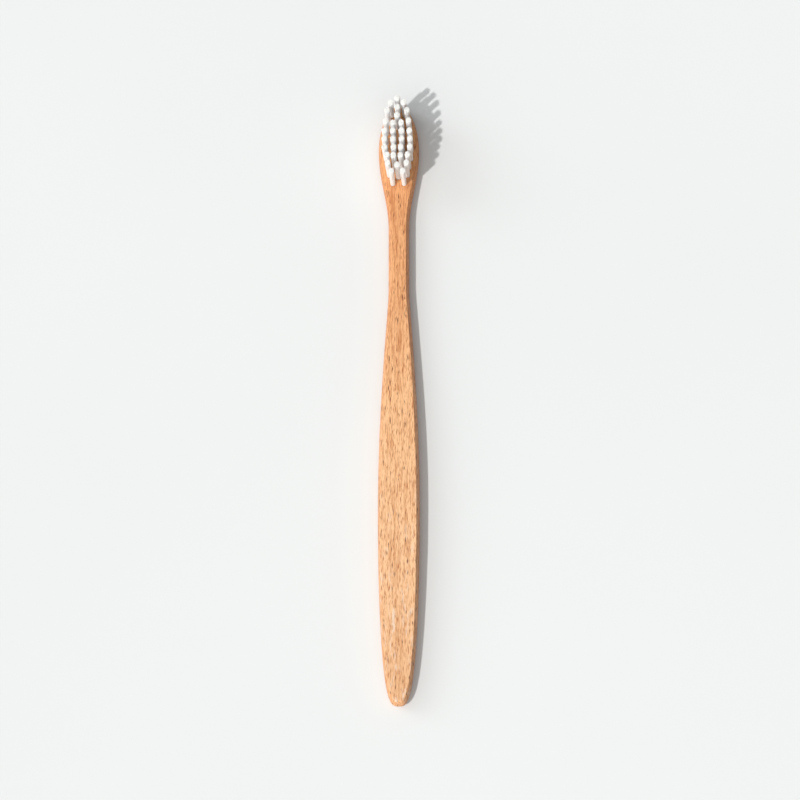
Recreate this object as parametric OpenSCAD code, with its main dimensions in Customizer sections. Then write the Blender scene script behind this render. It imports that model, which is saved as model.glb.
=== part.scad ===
// Manual toothbrush with a one-piece beech handle and fixed bristle tufts.
// The brush lies on its flat back: +Z is the way the bristles point, +Y runs from the foot to
// the head, and the origin is under the middle of its length. Places along the handle are
// counted from the foot's tip.

/* [Handle] */
// Length over all
handle_length = 190; // [172:1:215]
// Place of the widest part of the grip
grip_at = 60; // [40:1:70]
// Width of the grip at its widest
grip_width = 12.5; // [10.5:0.1:15]
// Thickness of the grip
grip_thickness = 6; // [5:0.1:8]
// Place where the grip has tapered down to the neck
neck_at = 127.5; // [100:0.5:140]
// Width of the neck
neck_width = 6.3; // [5:0.1:8]
// Thickness of the foot's tip
foot_thickness = 5; // [4:0.1:6]
// How far the handle's rounded sides bulge past its face
side_bulge = 1; // [0.5:0.1:1.3]

/* [Head] */
// Length of the head, from the neck to the tip
head_length = 41; // [34:0.5:50]
// Distance of the head's widest place from its tip
head_nose = 15.3; // [12:0.1:20]
// Width of the head at its widest
head_width = 12.5; // [11:0.1:16]
// Thickness of the head and the neck
head_thickness = 5; // [4.6:0.1:7]

/* [Tufts] */
// Length of the tufted field, from the first row's centres to the last one's
field_length = 24.2; // [20:0.1:26]
// Distance of the last row's centre from the head's tip
field_setback = 2.4; // [2.2:0.05:4]
// Half the width of the field, centre to centre
field_reach = 3.9; // [3.6:0.05:4.2]
// Height of the tufts over the wood
tuft_height = 10.5; // [6:0.1:13]
// Diameter of a tuft hole
hole_width = 1.54; // [1.5:0.01:1.6]
// Depth of a tuft hole
hole_depth = 3.4; // [2.6:0.1:3.8]
// Gap between a tuft's root and the wall of its hole
root_clearance = 0.02; // [0.01:0.01:0.05]
// Width of one bristle strand, across its corners
strand_width = 0.26; // [0.16:0.01:0.26]
// How far the outer strands lean out at their tips
tuft_splay = 0.14; // [0:0.01:0.2]

/* [Anchors] */
// Length of an anchor plate, across the hole
anchor_length = 1.95; // [1.8:0.01:2.1]
// Height of an anchor plate, down the hole
anchor_height = 1.4; // [0.8:0.1:1.6]
// Thickness of an anchor plate
anchor_thickness = 0.3; // [0.2:0.01:0.4]
// Thickness of the bristle fold under an anchor plate
fold_thickness = 0.5; // [0.3:0.05:0.8]
// Gap around an anchor plate
anchor_clearance = 0.02; // [0.01:0.01:0.05]
// Turn of the anchor plates from straight across the head
anchor_turn = 60; // [45:1:75]

/* [Hidden] */
$fn = 48;

// How full the foot's tip is, from the square of the distance: 0.5 would be an ellipse
foot_fullness_share = 0.3;
// Number of steps along the handle's outline
outline_steps = 96;
// How full a rounded side is: 1 would be a quarter of an ellipse, and 0.5 a plain slope
side_fullness_share = 0.68;
// How much of the thickness the rounding takes at the face, and as much again at the back
side_depth_share = 0.46;
// Number of steps round each half of a side
side_steps = 5;
// How far from an outline's point its slope is measured
slope_step = handle_length / 4000;
// Overrun of cuts past a surface
overrun = 0.5;

// Each row of tufts: its place along the field, then its tufts' places across it
row_shares = [
    [0, [-0.45, 0.45]],
    [0.087, [0]],
    [0.113, [-0.72, 0.72]],
    [0.222, [-0.83, -0.28, 0.28, 0.83]],
    [0.333, [-0.97, -0.32, 0.32, 0.97]],
    [0.444, [-1, -0.33, 0.33, 1]],
    [0.555, [-0.98, -0.33, 0.33, 0.98]],
    [0.663, [-0.34, 0.34]],
    [0.69, [-0.91, 0.91]],
    [0.77, [0]],
    [0.831, [-0.77, 0.77]],
    [0.883, [0]],
    [0.941, [-0.51, 0.51]],
    [1, [0]]
];

// Strands of a tuft: each ring's reach as a share of the outer ring's, and its count
ring_shares = [[0, 1], [0.52, 4], [1, 8]];
// Height of a strand's shoulder, where its rounded tip starts
shoulder_share = 0.985;
// Width of a strand's tip
tip_share = 0.45;
// How much shorter than the field's top a strand can be
trim_share = 0.02;
// Turn from one ring or strand to the next, and from one tuft to the next
strand_turn = 37;
tuft_turn = 111;
// Number of a strand's sides
strand_sides = 4;

field_from = handle_length - field_setback - field_length;
root_radius = hole_width / 2 - root_clearance;
ring_radius = root_radius - strand_width / 2 - root_clearance;
hole_floor = head_thickness - hole_depth;
anchor_floor = hole_floor + fold_thickness;
strand_sink = strand_width;
head_from = handle_length - head_length;
nose_from = handle_length - head_nose;

TUFTS = [
    for (row = row_shares) for (across = row[1])
        [field_reach * across, field_from + field_length * row[0]]
];

function two_digits(n) = str(n < 10 ? "0" : "", n);
function tuft_name(i) = str("tuft_", two_digits(i + 1));

// A smooth step from 0 to 1
function ease(t) = (1 - cos(180 * min(1, max(0, t)))) / 2;
function mix(a, b, t) = a + (b - a) * t;

// Half the handle's width at a place
function half_width(s) =
    s < grip_at
        ? grip_width / 2 * pow(1 - pow(1 - s / grip_at, 2), foot_fullness_share)
    : s < neck_at
        ? mix(neck_width, grip_width, sin(90 * (neck_at - s) / (neck_at - grip_at))) / 2
    : s < nose_from
        ? mix(neck_width, head_width, ease((s - head_from) / (nose_from - head_from))) / 2
    : head_width / 2 * sqrt(max(0, 1 - pow((s - nose_from) / head_nose, 2)));

// The handle's thickness at a place
function thickness(s) =
    s < grip_at
        ? mix(foot_thickness, grip_thickness, ease(s / grip_at))
        : mix(grip_thickness, head_thickness, ease((s - grip_at) / (neck_at - grip_at)));

// Places of the outline's points, close together at both tips
function place(i) = handle_length * (1 - cos(180 * i / outline_steps)) / 2;

// The outward direction of the outline's right side
function outward(i) =
    i == 0 ? [0, -1]
    : i == outline_steps ? [0, 1]
    : let (
        s = place(i),
        rise = half_width(s + slope_step) - half_width(s - slope_step),
        normal = [2 * slope_step, -rise]
    ) normal / norm(normal);

// How far a rounded side has turned after k steps, from 0 to 1
function turned(k) = pow(sin(90 * k / side_steps), 1 / side_fullness_share);

// Each ring's inset and height, as shares of the bulge and of the thickness, from back to front
function side_shares() = concat(
    [for (k = [0 : side_steps]) [1 - turned(k), side_depth_share * (1 - turned(side_steps - k))]],
    [for (k = [0 : side_steps]) [1 - turned(side_steps - k), 1 - side_depth_share * (1 - turned(k))]]
);

// The right side's points at one level
function right_side(level_shares) = [
    for (i = [0 : outline_steps])
        let (
            s = place(i),
            p = [i == 0 || i == outline_steps ? 0 : half_width(s), s],
            q = p - side_bulge * level_shares[0] * outward(i)
        )
        [q[0], q[1], thickness(s) * level_shares[1]]
];

// A whole closed ring: up the right side and down the left
function ring(level_shares) = let (side = right_side(level_shares)) concat(
    side,
    [for (i = [outline_steps - 1 : -1 : 1]) [-side[i][0], side[i][1], side[i][2]]]
);

// The two triangles of a quad
function quad(a, b, c, d) = [[a, b, c], [a, c, d]];

module blank() {
    shares = side_shares();
    count = 2 * outline_steps;
    last = (len(shares) - 1) * count;
    points = [for (level_shares = shares) each ring(level_shares)];
    walls = [
        for (j = [0 : len(shares) - 2]) for (i = [0 : count - 1])
            let (a = j * count, n = (i + 1) % count)
            each quad(a + i, a + count + i, a + count + n, a + n)
    ];
    caps = [
        for (i = [0 : outline_steps - 1])
            let (left = (count - i) % count, left_next = count - i - 1)
            each concat(
                i == 0 ? [] : [[i, i + 1, left]],
                i == outline_steps - 1 ? [] : [[i + 1, left_next, left]]
            )
    ];
    front = [for (t = caps) [t[2] + last, t[1] + last, t[0] + last]];
    polyhedron(points = points, faces = concat(walls, caps, front));
}

// Moves what is drawn from the foot's tip to the part's origin
module centred() {
    translate([0, -handle_length / 2, 0]) children();
}

// An upright block across a tuft hole, as long and thick as an anchor plate and a gap round it
module anchor_block(gap, floor_z, height) {
    translate([0, 0, floor_z])
        rotate([0, 0, anchor_turn])
            linear_extrude(height)
                square([anchor_length + 2 * gap, anchor_thickness + 2 * gap], center = true);
}

module anchor_plate() {
    anchor_block(0, anchor_floor, anchor_height);
}

// The hole of a tuft, with the slit that its anchor plate cuts on its way in
module tuft_hole() {
    translate([0, 0, hole_floor])
        cylinder(h = hole_depth + overrun, d = hole_width);
    anchor_block(anchor_clearance, anchor_floor, head_thickness - anchor_floor + overrun);
}

module handle() {
    color([0.87, 0.65, 0.46])
        centred()
            difference() {
                blank();
                for (at = TUFTS)
                    translate([at[0], at[1], 0]) tuft_hole();
            }
}

module anchors() {
    color([0.75, 0.74, 0.70])
        centred()
            for (at = TUFTS)
                translate([at[0], at[1], 0]) anchor_plate();
}

// Direction and reach of each strand in a tuft, as [angle, reach share]
STRANDS = [
    for (r = ring_shares) for (k = [0 : r[1] - 1])
        [360 * k / r[1] + strand_turn * r[0], r[0]]
];

// Points of strand k of tuft i, as three squares one over the other: root, shoulder and tip
function strand_points(i, k) =
    let (
        angle = STRANDS[k][0] + tuft_turn * i,
        reach = STRANDS[k][1],
        turn = tuft_turn * i + strand_turn * k,
        height = tuft_height * (1 - trim_share * pow(sin(turn), 2)),
        levels = [[-strand_sink, 1], [height * shoulder_share, 1], [height, tip_share]]
    )
    [
        for (level = levels)
            let (
                lean = tuft_splay * max(0, level[0]) / tuft_height,
                middle = reach * (ring_radius + lean) * [cos(angle), sin(angle)],
                size = strand_width / 2 * level[1]
            )
            for (corner = [0 : strand_sides - 1])
                let (a = turn + 360 * corner / strand_sides)
                [middle[0] + size * cos(a), middle[1] + size * sin(a), head_thickness + level[0]]
    ];

// A strand's triangles, where its points start at the number first
function strand_faces(first) =
    let (tip = first + 2 * strand_sides)
    concat(
        [
            for (low = [first, first + strand_sides]) for (k = [0 : strand_sides - 1])
                let (high = low + strand_sides, n = (k + 1) % strand_sides)
                each quad(low + k, high + k, high + n, low + n)
        ],
        [for (k = [1 : strand_sides - 2]) [first, first + k, first + k + 1]],
        [for (k = [1 : strand_sides - 2]) [tip, tip + k + 1, tip + k]]
    );

// The bundle's root in its hole, folded round its anchor plate
module tuft_root() {
    difference() {
        translate([0, 0, hole_floor])
            cylinder(h = hole_depth, r = root_radius);
        anchor_block(
            anchor_clearance,
            anchor_floor - anchor_clearance,
            anchor_height + 2 * anchor_clearance
        );
    }
}

module bristles(i) {
    strands = [0 : len(STRANDS) - 1];
    polyhedron(
        points = [for (k = strands) each strand_points(i, k)],
        faces = [for (k = strands) each strand_faces(3 * strand_sides * k)]
    );
}

module tuft(i) {
    color([0.96, 0.95, 0.93])
        centred()
            translate([TUFTS[i][0], TUFTS[i][1], 0]) {
                tuft_root();
                bristles(i);
            }
}

handle();
anchors();
for (i = [0 : len(TUFTS) - 1])
    tuft(i);
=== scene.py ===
"""Looks of a manual toothbrush with a beech handle and nylon tufts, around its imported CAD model.

Blender's objects are in metres, in the row frame: the brush lies on its flat back, +Z is the way
the bristles point and +Y runs from the foot to the head. Lengths of the brush are written here in
millimetres, times MM where Blender takes them.
"""

import math
import random

import bpy
from mathutils import Matrix, Vector


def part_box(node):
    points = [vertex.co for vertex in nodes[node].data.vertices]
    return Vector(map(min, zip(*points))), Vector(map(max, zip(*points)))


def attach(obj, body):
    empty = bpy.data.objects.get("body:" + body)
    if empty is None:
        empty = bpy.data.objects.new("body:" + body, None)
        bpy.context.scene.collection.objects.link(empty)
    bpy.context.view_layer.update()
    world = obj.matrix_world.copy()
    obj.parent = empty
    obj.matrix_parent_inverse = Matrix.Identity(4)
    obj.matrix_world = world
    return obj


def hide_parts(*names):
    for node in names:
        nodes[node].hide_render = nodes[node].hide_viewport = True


MM = 0.001

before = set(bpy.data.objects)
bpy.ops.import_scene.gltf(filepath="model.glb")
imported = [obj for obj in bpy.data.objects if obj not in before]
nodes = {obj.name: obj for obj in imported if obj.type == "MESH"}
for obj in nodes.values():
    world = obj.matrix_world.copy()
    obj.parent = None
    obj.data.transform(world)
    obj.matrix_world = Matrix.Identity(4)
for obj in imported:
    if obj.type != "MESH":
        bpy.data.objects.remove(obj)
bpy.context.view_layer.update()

# Places on the CAD model: half its length, the face of the head, where the filaments start inside
# their hole, a height that only the root of a tuft is under, and the bristles' tips
HALF_LENGTH = 95.0
FACE_Z = 5.0
ROOT_Z = 3.62
INSIDE_WOOD_Z = 3.0
TIP_Z = max(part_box(n)[1].z for n in nodes if n.startswith("tuft_")) / MM


# Helpers


def srgb(r, g, b):
    """A colour as a picture shows it, 0 to 255, as the linear values that Blender takes."""

    def linear(v):
        v /= 255.0
        return v / 12.92 if v <= 0.04045 else ((v + 0.055) / 1.055) ** 2.4

    return (linear(r), linear(g), linear(b), 1.0)


class Nodes:
    """Short names for building the nodes of one material or world."""

    def __init__(self, owner):
        owner.use_nodes = True
        self.owner = owner
        self.tree = owner.node_tree
        self.tree.nodes.clear()

    def link(self, a, b):
        self.tree.links.new(a, b)

    def put(self, socket, value):
        """Links a socket to another one, or sets it where the value is a constant."""
        if isinstance(value, bpy.types.NodeSocket):
            self.link(value, socket)
        else:
            socket.default_value = value

    def node(self, kind, **settings):
        made = self.tree.nodes.new(kind)
        for key, value in settings.items():
            setattr(made, key, value)
        return made

    def coords(self, scale):
        """Object coordinates in millimetres, times a scale for each axis."""
        source = self.node("ShaderNodeTexCoord").outputs["Object"]
        mapping = self.node("ShaderNodeMapping")
        self.link(source, mapping.inputs["Vector"])
        mapping.inputs["Scale"].default_value = [s / MM for s in scale]
        return mapping.outputs["Vector"]

    def places(self):
        """The X, Y and Z of object coordinates in millimetres."""
        return self.separate(self.coords((1.0, 1.0, 1.0)))

    def add_vectors(self, a, b):
        made = self.node("ShaderNodeVectorMath", operation="ADD")
        self.put(made.inputs[0], a)
        self.put(made.inputs[1], b)
        return made.outputs["Vector"]

    def scale_vector(self, a, factor):
        made = self.node("ShaderNodeVectorMath", operation="MULTIPLY")
        self.put(made.inputs[0], a)
        self.put(made.inputs[1], factor)
        return made.outputs["Vector"]

    def noise(self, vector, detail, rough=0.5, output="Fac"):
        made = self.node("ShaderNodeTexNoise")
        self.link(vector, made.inputs["Vector"])
        made.inputs["Scale"].default_value = 1.0
        made.inputs["Detail"].default_value = detail
        made.inputs["Roughness"].default_value = rough
        return made.outputs[output]

    def voronoi(self, vector):
        """A cell pattern whose distance makes diamonds, which are pointed marks once stretched."""
        made = self.node("ShaderNodeTexVoronoi", feature="F1", distance="MANHATTAN")
        self.link(vector, made.inputs["Vector"])
        made.inputs["Scale"].default_value = 1.0
        return made

    def ramp(self, value, stops):
        made = self.node("ShaderNodeValToRGB")
        self.link(value, made.inputs["Fac"])
        ramp = made.color_ramp
        ramp.interpolation = "LINEAR"
        while len(ramp.elements) < len(stops):
            ramp.elements.new(0.5)
        for element, (place, colour) in zip(ramp.elements, stops):
            element.position = place
            element.color = colour if hasattr(colour, "__len__") else (colour, colour, colour, 1)
        return made.outputs["Color"]

    def span(self, value, low, high, to_low=0.0, to_high=1.0):
        """Maps the values from low to high onto to_low to to_high, and holds the ends."""
        made = self.node("ShaderNodeMapRange")
        self.put(made.inputs["Value"], value)
        made.inputs["From Min"].default_value = low
        made.inputs["From Max"].default_value = high
        made.inputs["To Min"].default_value = to_low
        made.inputs["To Max"].default_value = to_high
        return made.outputs["Result"]

    def math(self, operation, a, b=0.0):
        made = self.node("ShaderNodeMath", operation=operation)
        self.put(made.inputs[0], a)
        self.put(made.inputs[1], b)
        return made.outputs["Value"]

    def mix(self, factor, a, b, blend="MIX"):
        made = self.node("ShaderNodeMix", data_type="RGBA", blend_type=blend)
        self.put(made.inputs[0], factor)
        self.put(made.inputs[6], a)
        self.put(made.inputs[7], b)
        return made.outputs[2]

    def separate(self, vector):
        made = self.node("ShaderNodeSeparateXYZ")
        self.link(vector, made.inputs["Vector"])
        return made.outputs

    def bump(self, height, strength, distance):
        made = self.node("ShaderNodeBump")
        made.inputs["Strength"].default_value = strength
        made.inputs["Distance"].default_value = distance
        self.link(height, made.inputs["Height"])
        return made.outputs["Normal"]

    def surface(self, **values):
        """Ends a material in one shader with these values, and gives the material."""
        names = {
            "color": "Base Color",
            "roughness": "Roughness",
            "metallic": "Metallic",
            "ior": "IOR",
            "specular": "Specular IOR Level",
            "normal": "Normal",
            "anisotropic": "Anisotropic",
        }
        shader = self.node("ShaderNodeBsdfPrincipled")
        for key, value in values.items():
            self.put(shader.inputs[names[key]], value)
        out = self.node("ShaderNodeOutputMaterial")
        self.link(shader.outputs["BSDF"], out.inputs["Surface"])
        return self.owner


# Materials


def spindles(m, vector, ragged, width, share, weakest):
    """Pointed marks with ragged edges, at most one in each cell of a stretched pattern.

    width is the mark's size in its cell, share the part of the cells that have one, and weakest
    the strength of the faintest.
    """
    cells = m.voronoi(vector)
    edge = m.math("ADD", cells.outputs["Distance"], ragged)
    mark = m.ramp(edge, [(width * 0.55, 1.0), (width, 0.0)])
    pick = m.separate(cells.outputs["Color"])["X"]
    chosen = m.ramp(pick, [(0.0, 1.0), (share, weakest), (share + 0.01, 0.0)])
    return m.math("MULTIPLY", mark, chosen)


def beech():
    """Oiled beech: fibres along Y, wavy streaks, short dark rays, a few pale patches and painted
    shade on the sides.
    """
    m = Nodes(bpy.data.materials.new("beech"))
    wander = m.noise(m.coords((0.05, 0.015, 0.05)), detail=1.0, output="Color")
    sway = m.noise(m.coords((0.8, 0.30, 0.8)), detail=1.0, output="Color")
    shift = m.add_vectors(
        m.scale_vector(wander, (2.6, 0.0, 2.6)),
        m.scale_vector(sway, (1.1, 0.0, 0.9)),
    )

    def along_grain(x, y, z):
        """Coordinates stretched along the handle, which wander a little across it."""
        return m.add_vectors(m.coords((x, y, z)), shift)

    bands = m.noise(along_grain(0.36, 0.012, 0.36), detail=2.0, rough=0.5)
    streaks = m.noise(along_grain(2.6, 0.09, 1.5), detail=3.0, rough=0.6)
    fibre = m.noise(along_grain(11.0, 0.22, 8.0), detail=3.0, rough=0.65)
    fibre_swing = m.math("SUBTRACT", fibre, 0.5)
    y = m.places()["Y"]

    # Two tones from the foot to the head, mixed by the streaks
    along = m.span(y, -HALF_LENGTH, HALF_LENGTH)
    pale = m.ramp(
        along,
        [
            (0.0, srgb(233, 182, 136)),
            (0.25, srgb(246, 197, 150)),
            (0.5, srgb(246, 193, 143)),
            (0.68, srgb(238, 177, 125)),
            (0.85, srgb(230, 165, 112)),
            (1.0, srgb(235, 179, 127)),
        ],
    )
    deep = m.ramp(
        along,
        [
            (0.0, srgb(209, 151, 101)),
            (0.25, srgb(209, 146, 96)),
            (0.5, srgb(210, 144, 92)),
            (0.68, srgb(199, 128, 78)),
            (0.85, srgb(195, 121, 71)),
            (1.0, srgb(204, 138, 89)),
        ],
    )
    tone = m.math("ADD", m.math("MULTIPLY", streaks, 0.62), m.math("MULTIPLY", bands, 0.38))
    tone = m.math("ADD", tone, m.math("MULTIPLY", fibre_swing, 0.45))
    colour = m.mix(m.ramp(tone, [(0.36, 0.0), (0.53, 1.0)]), deep, pale)

    # Rays: many faint small ones, and larger brown ones
    ragged = m.math("MULTIPLY", fibre_swing, 0.9)
    small = spindles(m, along_grain(4.4, 0.50, 3.0), ragged, width=0.62, share=0.95, weakest=0.35)
    colour = m.mix(small, colour, srgb(190, 118, 70))
    large = spindles(m, along_grain(2.9, 0.28, 1.9), ragged, width=0.55, share=0.88, weakest=0.45)
    colour = m.mix(large, colour, srgb(176, 102, 55))

    # Dark dashes: fewer, longer and much darker
    dark = spindles(m, along_grain(1.9, 0.27, 1.3), ragged, width=0.44, share=0.34, weakest=0.8)
    colour = m.mix(dark, colour, srgb(104, 48, 18))

    # Pale patches, mostly near the foot
    patch = m.noise(along_grain(0.95, 0.17, 0.6), detail=3.5, rough=0.6)
    pale_patches = m.ramp(patch, [(0.55, 0.0), (0.70, 0.75)])
    near_foot = m.span(y, -15.0, -75.0)
    colour = m.mix(m.math("MULTIPLY", pale_patches, near_foot), colour, srgb(236, 216, 196))

    # Painted shade: where the surface turns to the left or right side, the colour is multiplied
    # darker and warmer, standing in for the shade on the handle's sides
    normal = m.node("ShaderNodeTexCoord").outputs["Normal"]
    side_shade_mask = m.span(m.math("ABSOLUTE", m.separate(normal)["X"]), 0.2, 0.8)
    painted_side_shade = m.mix(1.0, colour, (0.95, 0.89, 0.82, 1.0), "MULTIPLY")
    colour = m.mix(side_shade_mask, colour, painted_side_shade)

    grain = m.math("ADD", m.math("MULTIPLY", fibre, 0.7), m.math("MULTIPLY", streaks, 0.3))
    height = m.math("SUBTRACT", grain, m.math("MULTIPLY", dark, 0.9))
    return m.surface(
        color=colour,
        roughness=m.span(grain, 0.3, 0.7, 0.48, 0.34),
        normal=m.bump(height, strength=0.35, distance=0.04 * MM),
        specular=0.5,
        ior=1.45,
    )


def nylon():
    """White nylon filament, with each filament a shade different and the cut tips creamier."""
    m = Nodes(bpy.data.materials.new("bristle_nylon"))
    each = m.noise(m.coords((3.3, 3.3, 0.02)), detail=1.0, rough=0.4)
    along = m.noise(m.coords((5.0, 5.0, 0.6)), detail=2.0, rough=0.5)
    colour = m.ramp(each, [(0.3, srgb(250, 250, 249)), (0.7, srgb(253, 253, 253))])
    tips = m.span(m.places()["Z"], TIP_Z - 0.3, TIP_Z - 0.05)
    colour = m.mix(tips, colour, srgb(253, 251, 246))
    return m.surface(
        color=colour,
        roughness=m.span(along, 0.3, 0.7, 0.34, 0.48),
        normal=m.bump(along, strength=0.12, distance=0.01 * MM),
        specular=0.45,
        ior=1.5,
    )


def strip_metal():
    """Drawn metal strip of the anchors, with fine lines along each plate's height."""
    m = Nodes(bpy.data.materials.new("anchor_metal"))
    lines = m.noise(m.coords((38.0, 38.0, 1.2)), detail=3.0, rough=0.6)
    spots = m.noise(m.coords((2.2, 2.2, 2.2)), detail=3.0, rough=0.6)
    colour = m.mix(m.span(spots, 0.35, 0.65), srgb(196, 190, 178), srgb(214, 210, 200))
    return m.surface(
        color=colour,
        metallic=1.0,
        roughness=m.span(lines, 0.3, 0.7, 0.24, 0.42),
        normal=m.bump(lines, strength=0.2, distance=0.01 * MM),
        anisotropic=0.4,
    )


def dress(obj, material):
    obj.data.materials.clear()
    obj.data.materials.append(material)


# The handle and the anchors

SPLIT_DEGREES = 50.0
WELD_DISTANCE = 0.002


def smooth_shading():
    """Nodes that drop the imported flat normals and shade smooth."""
    tree = bpy.data.node_groups.new("smooth_shading", "GeometryNodeTree")
    tree.interface.new_socket("Geometry", in_out="INPUT", socket_type="NodeSocketGeometry")
    tree.interface.new_socket("Geometry", in_out="OUTPUT", socket_type="NodeSocketGeometry")
    source = tree.nodes.new("NodeGroupInput")
    target = tree.nodes.new("NodeGroupOutput")
    drop = tree.nodes.new("GeometryNodeRemoveAttribute")
    drop.inputs["Name"].default_value = "custom_normal"
    smooth = tree.nodes.new("GeometryNodeSetShadeSmooth")
    tree.links.new(source.outputs[0], drop.inputs["Geometry"])
    tree.links.new(drop.outputs["Geometry"], smooth.inputs["Geometry"])
    tree.links.new(smooth.outputs["Geometry"], target.inputs[0])
    return tree


def soften(obj):
    """Smooth shading on a CAD node by modifiers alone: its own mesh stays as it is."""
    weld = obj.modifiers.new("weld", "WELD")
    weld.merge_threshold = WELD_DISTANCE * MM
    smooth = obj.modifiers.new("smooth", "NODES")
    smooth.node_group = smooth_shading()
    split = obj.modifiers.new("split", "EDGE_SPLIT")
    split.split_angle = math.radians(SPLIT_DEGREES)
    weighted = obj.modifiers.new("weighted", "WEIGHTED_NORMAL")
    weighted.weight = 90
    weighted.keep_sharp = True


dress(nodes["handle"], beech())
soften(nodes["handle"])
dress(nodes["anchors"], strip_metal())


# The tufts: fine filaments instead of the CAD model's thick strands, in millimetres

FILAMENT_RADIUS = 0.122
FILAMENT_PITCH = 0.174
FILAMENT_SIDES = 6
TUFT_RADIUS = 0.66
PATTERN_REACH = 0.665
SPLAY = (0.13, 0.29)
BEND_POWER = 1.5
TUFT_LEAN = 0.06
TIP_DRIFT = 0.035
ROOT_JITTER = 0.004
TIP_JITTER = 0.018
CROWN = 0.05


def tuft_centre(node):
    """The middle of a tuft's root, from the part of its mesh deep inside the wood."""
    low = [v.co for v in node.data.vertices if v.co.z < INSIDE_WOOD_Z * MM]
    xs = [c.x for c in low]
    ys = [c.y for c in low]
    return (min(xs) + max(xs)) / 2 / MM, (min(ys) + max(ys)) / 2 / MM


def close_packed(turn):
    """Places of the filaments in a tuft: a close-packed pattern in a circle, turned round."""
    c, s = math.cos(turn), math.sin(turn)
    found = []
    rows = int(PATTERN_REACH / FILAMENT_PITCH) + 2
    for j in range(-rows, rows + 1):
        for i in range(-rows, rows + 1):
            x = (i + 0.5 * (j % 2)) * FILAMENT_PITCH
            y = j * FILAMENT_PITCH * math.sqrt(0.75)
            if math.hypot(x, y) <= PATTERN_REACH:
                found.append((x * c - y * s, x * s + y * c))
    return found


def add_filament(verts, faces, centre, root, lean, top, rng):
    """One bent filament with a rounded tip. root is its place in the tuft, lean the tuft's tilt."""
    phase = rng.uniform(0, math.pi)
    drift = (rng.gauss(0, TIP_DRIFT), rng.gauss(0, TIP_DRIFT))
    # The outer filaments of a tuft stray more than the inner ones
    stray = 0.4 + math.hypot(*root) / TUFT_RADIUS
    out = [lean[k] + root[k] / TUFT_RADIUS * SPLAY[k] + drift[k] * stray for k in range(2)]
    # Height and share of the radius, from the root to the rounded tip
    levels = [
        (ROOT_Z, 1.0),
        (FACE_Z, 1.0),
        (FACE_Z + 0.3 * (top - FACE_Z), 1.0),
        (FACE_Z + 0.65 * (top - FACE_Z), 1.0),
        (top - 0.05, 1.0),
        (top - 0.014, 0.92),
        (top, 0.76),
    ]
    first = len(verts)
    for z, width in levels:
        bend = (max(0.0, z - FACE_Z) / (top - FACE_Z)) ** BEND_POWER
        x = centre[0] + root[0] + out[0] * bend
        y = centre[1] + root[1] + out[1] * bend
        r = FILAMENT_RADIUS * width
        for k in range(FILAMENT_SIDES):
            a = phase + 2 * math.pi * k / FILAMENT_SIDES
            verts.append(((x + r * math.cos(a)) * MM, (y + r * math.sin(a)) * MM, z * MM))
    for j in range(len(levels) - 1):
        for k in range(FILAMENT_SIDES):
            a = first + j * FILAMENT_SIDES + k
            b = first + j * FILAMENT_SIDES + (k + 1) % FILAMENT_SIDES
            faces.append((a, b, b + FILAMENT_SIDES, a + FILAMENT_SIDES))
    last = first + (len(levels) - 1) * FILAMENT_SIDES
    faces.append(tuple(last + k for k in range(FILAMENT_SIDES)))


def make_tuft(node_name, material):
    """A tuft of filaments that stands for the CAD tuft of that name."""
    rng = random.Random(f"toothbrush {node_name}")
    centre = tuft_centre(nodes[node_name])
    lean = (rng.gauss(0, TUFT_LEAN), rng.gauss(0, TUFT_LEAN))
    verts, faces = [], []
    for root in close_packed(rng.uniform(0, math.pi / 3)):
        place = (root[0] + rng.gauss(0, ROOT_JITTER), root[1] + rng.gauss(0, ROOT_JITTER))
        below_crown = CROWN * (math.hypot(*root) / TUFT_RADIUS) ** 2
        top = TIP_Z - below_crown - abs(rng.gauss(0, TIP_JITTER))
        add_filament(verts, faces, centre, place, lean, top, rng)
    name = node_name.replace("tuft", "bristles")
    mesh = bpy.data.meshes.new(name)
    mesh.from_pydata(verts, [], faces)
    mesh.polygons.foreach_set("use_smooth", [True] * len(mesh.polygons))
    mesh.update()
    piece = bpy.data.objects.new(name, mesh)
    bpy.context.scene.collection.objects.link(piece)
    dress(piece, material)
    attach(piece, "root")
    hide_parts(node_name)


white = nylon()
for tuft_name in sorted(n for n in nodes if n.startswith("tuft_")):
    make_tuft(tuft_name, white)


# Floor, light and camera

# The floor, in metres: half its side, and a height just below the flat back, so the two don't mix
FLOOR_HALF = 4.0
FLOOR_Z = -0.02 * MM

# The sun shines from the left, the foot's side and above
SUN_FROM = (-0.44, -0.45, 0.777)
SUN_STRENGTH = 1.9
SUN_DEGREES = 2.0

# The fill is strong and a little warm from the foot's side, weaker and cool from the head's side,
# and weak from the right
FILL_FOOT = 1.6
FILL_HEAD = 0.38
FILL_RIGHT_SHARE = 0.12
FILL_WARM = (1.0, 0.97, 0.93, 1.0)
FILL_COOL = (0.88, 0.95, 1.0, 1.0)

# One brighter patch at the left shows as a sheen along the handle's edge
GLOW_FROM = (-0.85, 0.31, 0.44)
GLOW_STRENGTH = 3.5

# The camera: 3040 pixels of focal length in a frame 800 pixels wide, 0.9 m from the brush, and
# 18 degrees off the way the bristles point
SENSOR = 36.0
FOCAL_SHARE = 3040.0 / 800.0
CAMERA_PLACE = (0.039914, -0.284398, 0.874246)
CAMERA_FORWARD = (-0.04314, 0.30902, -0.95008)
CAMERA_UP = (0.01402, 0.95106, 0.30870)


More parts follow.
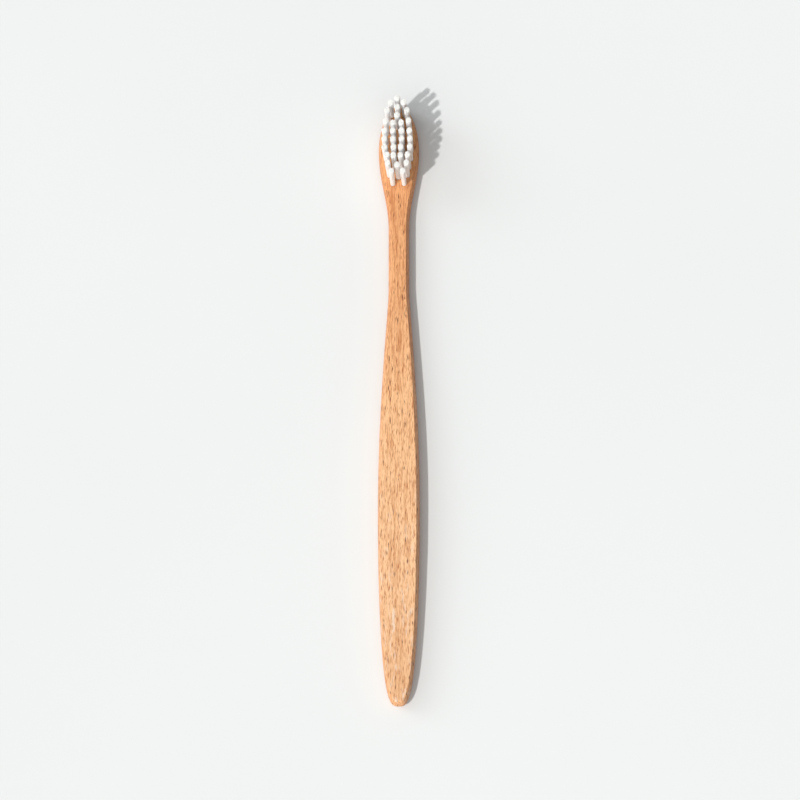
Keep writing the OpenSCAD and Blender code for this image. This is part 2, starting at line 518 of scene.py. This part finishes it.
def make_floor():
    """A plain floor that is pale where it is seen, and throws a browner light on the wood."""
    m = Nodes(bpy.data.materials.new("pale_floor"))
    cloud = m.noise(m.coords((0.004, 0.004, 0.004)), detail=3.0)
    seen = m.ramp(cloud, [(0.3, srgb(226, 226, 224)), (0.7, srgb(229, 229, 227))])
    path = m.node("ShaderNodeLightPath").outputs
    plain = m.math("MAXIMUM", path["Is Camera Ray"], path["Is Glossy Ray"])
    plain = m.math("MAXIMUM", plain, path["Is Transmission Ray"])
    m.surface(color=m.mix(plain, srgb(168, 132, 100), seen), roughness=0.9, specular=0.2)
    signs = [(-1, -1), (1, -1), (1, 1), (-1, 1)]
    corners = [(x * FLOOR_HALF, y * FLOOR_HALF, FLOOR_Z) for x, y in signs]
    mesh = bpy.data.meshes.new("floor")
    mesh.from_pydata(corners, [], [(0, 1, 2, 3)])
    plane = bpy.data.objects.new("floor", mesh)
    bpy.context.scene.collection.objects.link(plane)
    dress(plane, m.owner)


def make_sun():
    data = bpy.data.lights.new("key", "SUN")
    data.energy = SUN_STRENGTH
    data.angle = math.radians(SUN_DEGREES)
    sun = bpy.data.objects.new("key", data)
    bpy.context.scene.collection.objects.link(sun)
    sun.rotation_mode = "QUATERNION"
    sun.rotation_quaternion = Vector(SUN_FROM).to_track_quat("Z", "Y")


def make_world():
    world = bpy.data.worlds.new("studio")
    bpy.context.scene.world = world
    w = Nodes(world)
    direction = w.node("ShaderNodeTexCoord").outputs["Generated"]
    sides = w.separate(direction)
    strength = w.math(
        "MULTIPLY",
        w.span(sides["Y"], -1.0, 0.3, FILL_FOOT, FILL_HEAD),
        w.span(sides["X"], 0.0, 1.0, 1.0, FILL_RIGHT_SHARE),
    )
    nearness = w.node("ShaderNodeVectorMath", operation="DOT_PRODUCT")
    w.link(direction, nearness.inputs[0])
    nearness.inputs[1].default_value = Vector(GLOW_FROM).normalized()
    glow = w.span(nearness.outputs["Value"], 0.93, 0.99, 0.0, GLOW_STRENGTH)
    tint = w.mix(w.span(sides["Y"], -1.0, 0.3), FILL_WARM, FILL_COOL)
    fill = w.node("ShaderNodeBackground")
    w.link(tint, fill.inputs["Color"])
    w.link(w.math("ADD", strength, glow), fill.inputs["Strength"])
    seen = w.node("ShaderNodeBackground")
    seen.inputs["Color"].default_value = srgb(236, 237, 238)
    mix = w.node("ShaderNodeMixShader")
    w.link(w.node("ShaderNodeLightPath").outputs["Is Camera Ray"], mix.inputs[0])
    w.link(fill.outputs[0], mix.inputs[1])
    w.link(seen.outputs[0], mix.inputs[2])
    w.link(mix.outputs[0], w.node("ShaderNodeOutputWorld").inputs["Surface"])


def make_camera():
    data = bpy.data.cameras.new("camera")
    data.sensor_width = SENSOR
    data.lens = FOCAL_SHARE * SENSOR
    data.clip_start = 0.01
    data.clip_end = 20.0
    camera = bpy.data.objects.new("camera", data)
    bpy.context.scene.collection.objects.link(camera)
    forward = Vector(CAMERA_FORWARD).normalized()
    right = forward.cross(Vector(CAMERA_UP)).normalized()
    up = right.cross(forward)
    turn = Matrix((right, up, -forward)).transposed().to_4x4()
    camera.matrix_world = Matrix.Translation(CAMERA_PLACE) @ turn
    bpy.context.scene.camera = camera


make_floor()
make_sun()
make_world()
make_camera()
bpy.context.scene.view_settings.view_transform = "Standard"
